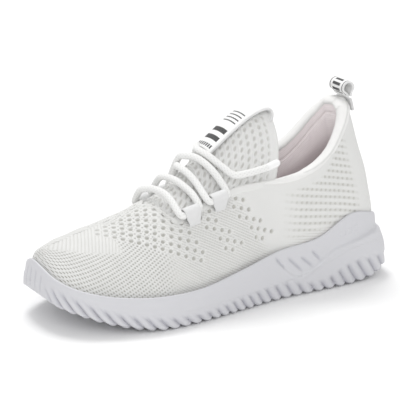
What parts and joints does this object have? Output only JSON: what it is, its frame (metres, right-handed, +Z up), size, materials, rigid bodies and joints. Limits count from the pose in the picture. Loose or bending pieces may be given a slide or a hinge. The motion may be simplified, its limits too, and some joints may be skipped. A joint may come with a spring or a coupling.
{
  "type": "running shoe",
  "caption": "Low lace-up running shoe with a knit upper, padded collar, free tongue top, heel pull tab and a thick ribbed sole that bends at the ball.",
  "frame": {"origin": "on the ground, in the middle of the shoe's length and width", "axes": "+X towards the toe, +Y towards the outer (lateral) side, +Z up"},
  "size_m": [0.2694, 0.1068, 0.1411],
  "materials": {
    "outsole_rubber": "matte moulded",
    "midsole_foam": "matte moulded foam",
    "board": "pressed fibre",
    "sockliner_fabric": "brushed fabric on foam",
    "knit": "flat knitted yarn",
    "lining_fabric": "brushed fabric",
    "stiffener": "thermoplastic sheet",
    "foam": "soft open foam",
    "binding_fabric": "smooth fabric",
    "tongue_knit": "bumpy knitted yarn",
    "webbing": "woven tape",
    "lace_cord": "braided round cord",
    "lace_tip_plastic": "gloss"
  },
  "bodies": {
    "rearfoot": {"outsole_heel": "outsole_rubber", "midsole_heel": "midsole_foam", "lasting_board_heel": "board", "sockliner_heel": "sockliner_fabric", "vamp_crease": "knit", "knit_quarter": "knit", "heel_counter": "stiffener", "quarter_lining": "lining_fabric", "collar_foam": "foam", "collar_binding": "binding_fabric", "heel_tape": "binding_fabric", "eyestay_lateral": "binding_fabric", "eyestay_medial": "binding_fabric", "tongue_base": "tongue_knit", "lace_tab_lateral_1": "webbing", "lace_tab_lateral_2": "webbing", "lace_tab_medial_1": "webbing", "lace_tab_medial_2": "webbing", "lace_tab_medial_3": "webbing", "lace": "lace_cord", "lace_tip": "lace_tip_plastic"},
    "forefoot": {"outsole_forefoot": "outsole_rubber", "midsole_forefoot": "midsole_foam", "lasting_board_forefoot": "board", "sockliner_forefoot": "sockliner_fabric", "knit_vamp": "knit", "toe_puff": "stiffener", "vamp_lining": "lining_fabric"},
    "tongue_flap": {"tongue_top": "tongue_knit", "tongue_strap": "webbing"},
    "heel_loop": {"pull_tab": "webbing"}
  },
  "joints": [
    {"name": "forefoot_flex", "type": "hinge", "parent": "rearfoot", "child": "forefoot", "pos_m": [0.06, 0, 0.027], "axis": [0, -1, 0], "range_deg": [0, 25], "stiffness_Nm_per_rad": 8, "deforming": ["vamp_crease"]},
    {"name": "tongue_flex", "type": "hinge", "parent": "rearfoot", "child": "tongue_flap", "pos_m": [-0.005, 0, 0.1075], "axis": [0, 1, 0], "range_deg": [0, 18], "stiffness_Nm_per_rad": 0.15},
    {"name": "pull_tab_flex", "type": "hinge", "parent": "rearfoot", "child": "heel_loop", "pos_m": [-0.106, 0, 0.1298], "axis": [0, 1, 0], "range_deg": [-40, 25], "stiffness_Nm_per_rad": 0.02}
  ]
}
